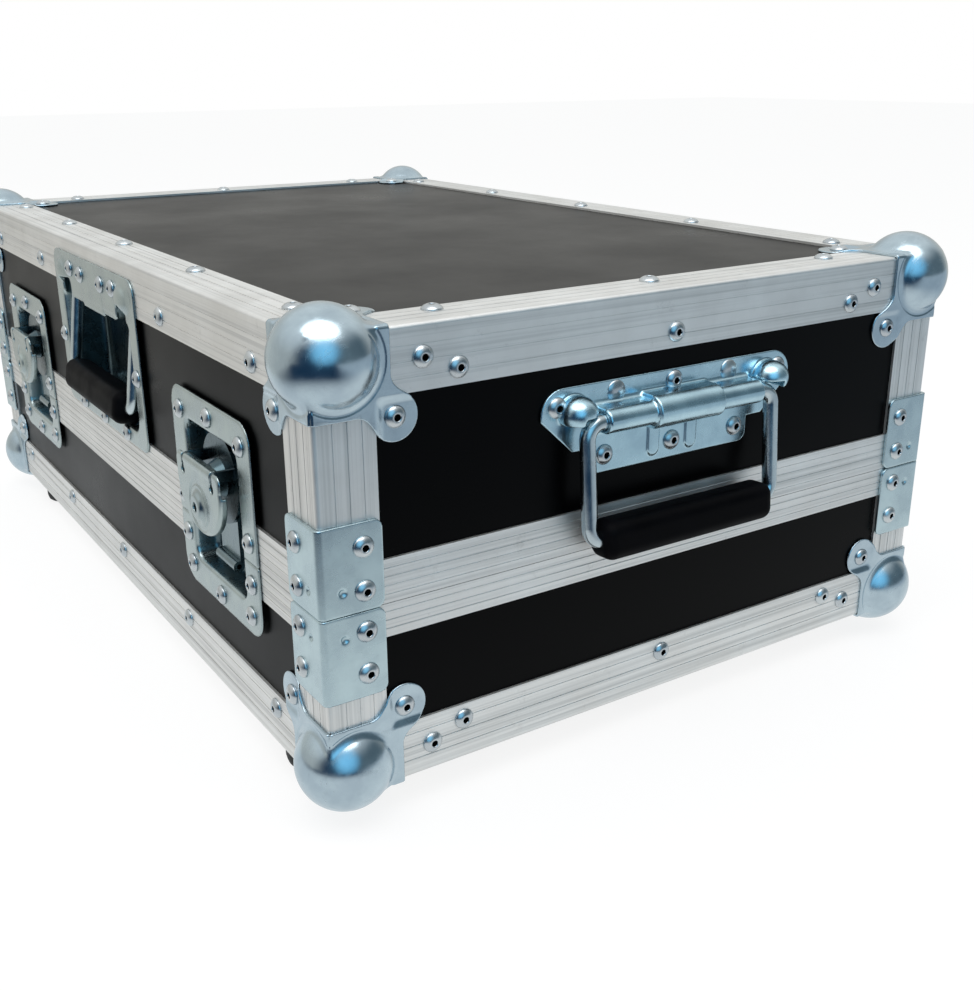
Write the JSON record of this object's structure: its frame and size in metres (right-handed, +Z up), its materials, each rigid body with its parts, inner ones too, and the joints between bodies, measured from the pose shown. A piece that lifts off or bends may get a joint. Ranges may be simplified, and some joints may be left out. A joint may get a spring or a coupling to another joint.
{
  "type": "equipment rack case",
  "caption": "Lidded transport case with aluminium edges, ball corners, butterfly latches, sprung end handles and a recessed front handle.",
  "frame": {"origin": "centre of the bounding box's bottom face, on the surface that the feet stand on", "axes": "+Z up, +X along the long side towards the right end, the face with the recessed handle looks along -Y"},
  "size_m": [0.6616, 0.422, 0.2497],
  "materials": {
    "aluminium_profile": "satin anodised",
    "zinc_hardware": "bright zinc plated steel, brushed",
    "panel_laminate": "fine textured black laminate on plywood",
    "black_rubber": "matt moulded",
    "foam": "open-cell foam"
  },
  "bodies": {
    "base": {"base_bottom_panel": "panel_laminate", "base_front_panel": "panel_laminate", "base_rear_panel": "panel_laminate", "base_right_panel": "panel_laminate", "base_left_panel": "panel_laminate", "base_long_edges": "aluminium_profile", "base_short_edges": "aluminium_profile", "base_corner_posts": "aluminium_profile", "groove_profile_long": "aluminium_profile", "groove_profile_short": "aluminium_profile", "base_ball_corners": "zinc_hardware", "base_corner_braces": "zinc_hardware", "feet": "black_rubber", "foot_screws": "zinc_hardware", "keeper_plates": "zinc_hardware", "base_foam": "foam", "base_rivets": "zinc_hardware"},
    "lid": {"lid_top_panel": "panel_laminate", "lid_front_panel": "panel_laminate", "lid_rear_panel": "panel_laminate", "lid_right_panel": "panel_laminate", "lid_left_panel": "panel_laminate", "lid_long_edges": "aluminium_profile", "lid_short_edges": "aluminium_profile", "lid_corner_posts": "aluminium_profile", "tongue_profile_long": "aluminium_profile", "tongue_profile_short": "aluminium_profile", "lid_ball_corners": "zinc_hardware", "lid_corner_braces": "zinc_hardware", "latch_dishes": "zinc_hardware", "recessed_handle_dish": "zinc_hardware", "lid_foam": "foam", "lid_rivets": "zinc_hardware", "end_handle_plate_right": "zinc_hardware", "end_handle_plate_left": "zinc_hardware", "end_handle_spring_right": "zinc_hardware", "end_handle_spring_left": "zinc_hardware", "recessed_handle_spring": "zinc_hardware"},
    "rotor_front_right": {"latch_rotor_front_right": "zinc_hardware"},
    "wing_front_right": {"latch_wing_front_right": "zinc_hardware"},
    "hook_front_right": {"latch_hook_front_right": "zinc_hardware"},
    "rotor_front_left": {"latch_rotor_front_left": "zinc_hardware"},
    "wing_front_left": {"latch_wing_front_left": "zinc_hardware"},
    "hook_front_left": {"latch_hook_front_left": "zinc_hardware"},
    "rotor_rear_right": {"latch_rotor_rear_right": "zinc_hardware"},
    "wing_rear_right": {"latch_wing_rear_right": "zinc_hardware"},
    "hook_rear_right": {"latch_hook_rear_right": "zinc_hardware"},
    "rotor_rear_left": {"latch_rotor_rear_left": "zinc_hardware"},
    "wing_rear_left": {"latch_wing_rear_left": "zinc_hardware"},
    "hook_rear_left": {"latch_hook_rear_left": "zinc_hardware"},
    "end_bail_right": {"end_bail_right": "zinc_hardware", "end_grip_right": "black_rubber"},
    "end_bail_left": {"end_bail_left": "zinc_hardware", "end_grip_left": "black_rubber"},
    "recessed_bail": {"recessed_bail": "zinc_hardware", "recessed_grip": "black_rubber"}
  },
  "joints": [
    {"name": "lid_lift", "type": "slide", "parent": "base", "child": "lid", "axis": [0, 0, 1], "range_m": [0, 0.16]},
    {"name": "latch_turn_front_right", "type": "hinge", "parent": "lid", "child": "rotor_front_right", "pos_m": [0.187, -0.19, 0.1435], "axis": [0, -1, 0], "range_deg": [0, 180]},
    {"name": "wing_fold_front_right", "type": "hinge", "parent": "rotor_front_right", "child": "wing_front_right", "pos_m": [0.187, -0.2055, 0.151], "axis": [-1, 0, 0], "range_deg": [0, 90]},
    {"name": "hook_draw_front_right", "type": "slide", "parent": "lid", "child": "hook_front_right", "axis": [0, 0, -1], "range_m": [0, 0.00601]},
    {"name": "latch_turn_front_left", "type": "hinge", "parent": "lid", "child": "rotor_front_left", "pos_m": [-0.187, -0.19, 0.1435], "axis": [0, -1, 0], "range_deg": [0, 180]},
    {"name": "wing_fold_front_left", "type": "hinge", "parent": "rotor_front_left", "child": "wing_front_left", "pos_m": [-0.187, -0.2055, 0.151], "axis": [-1, 0, 0], "range_deg": [0, 90]},
    {"name": "hook_draw_front_left", "type": "slide", "parent": "lid", "child": "hook_front_left", "axis": [0, 0, -1], "range_m": [0, 0.00601]},
    {"name": "latch_turn_rear_right", "type": "hinge", "parent": "lid", "child": "rotor_rear_right", "pos_m": [0.187, 0.19, 0.1435], "axis": [0, 1, 0], "range_deg": [0, 180]},
    {"name": "wing_fold_rear_right", "type": "hinge", "parent": "rotor_rear_right", "child": "wing_rear_right", "pos_m": [0.187, 0.2055, 0.151], "axis": [1, 0, 0], "range_deg": [0, 90]},
    {"name": "hook_draw_rear_right", "type": "slide", "parent": "lid", "child": "hook_rear_right", "axis": [0, 0, -1], "range_m": [0, 0.00601]},
    {"name": "latch_turn_rear_left", "type": "hinge", "parent": "lid", "child": "rotor_rear_left", "pos_m": [-0.187, 0.19, 0.1435], "axis": [0, 1, 0], "range_deg": [0, 180]},
    {"name": "wing_fold_rear_left", "type": "hinge", "parent": "rotor_rear_left", "child": "wing_rear_left", "pos_m": [-0.187, 0.2055, 0.151], "axis": [1, 0, 0], "range_deg": [0, 90]},
    {"name": "hook_draw_rear_left", "type": "slide", "parent": "lid", "child": "hook_rear_left", "axis": [0, 0, -1], "range_m": [0, 0.00601]},
    {"name": "end_handle_swing_right", "type": "hinge", "parent": "lid", "child": "end_bail_right", "pos_m": [0.3165, 0, 0.1805], "axis": [0, -1, 0], "range_deg": [0, 85], "stiffness_Nm_per_rad": 0.05},
    {"name": "end_handle_swing_left", "type": "hinge", "parent": "lid", "child": "end_bail_left", "pos_m": [-0.3165, 0, 0.1805], "axis": [0, 1, 0], "range_deg": [0, 85], "stiffness_Nm_per_rad": 0.05},
    {"name": "recessed_handle_swing", "type": "hinge", "parent": "lid", "child": "recessed_bail", "pos_m": [0, -0.1918, 0.208], "axis": [-1, 0, 0], "range_deg": [0, 80], "stiffness_Nm_per_rad": 0.05}
  ],
  "couplings": [
    {"joint": "hook_draw_front_right", "follows": "latch_turn_front_right", "m_per_rad": 0.0019099},
    {"joint": "hook_draw_front_left", "follows": "latch_turn_front_left", "m_per_rad": 0.0019099},
    {"joint": "hook_draw_rear_right", "follows": "latch_turn_rear_right", "m_per_rad": 0.0019099},
    {"joint": "hook_draw_rear_left", "follows": "latch_turn_rear_left", "m_per_rad": 0.0019099}
  ]
}
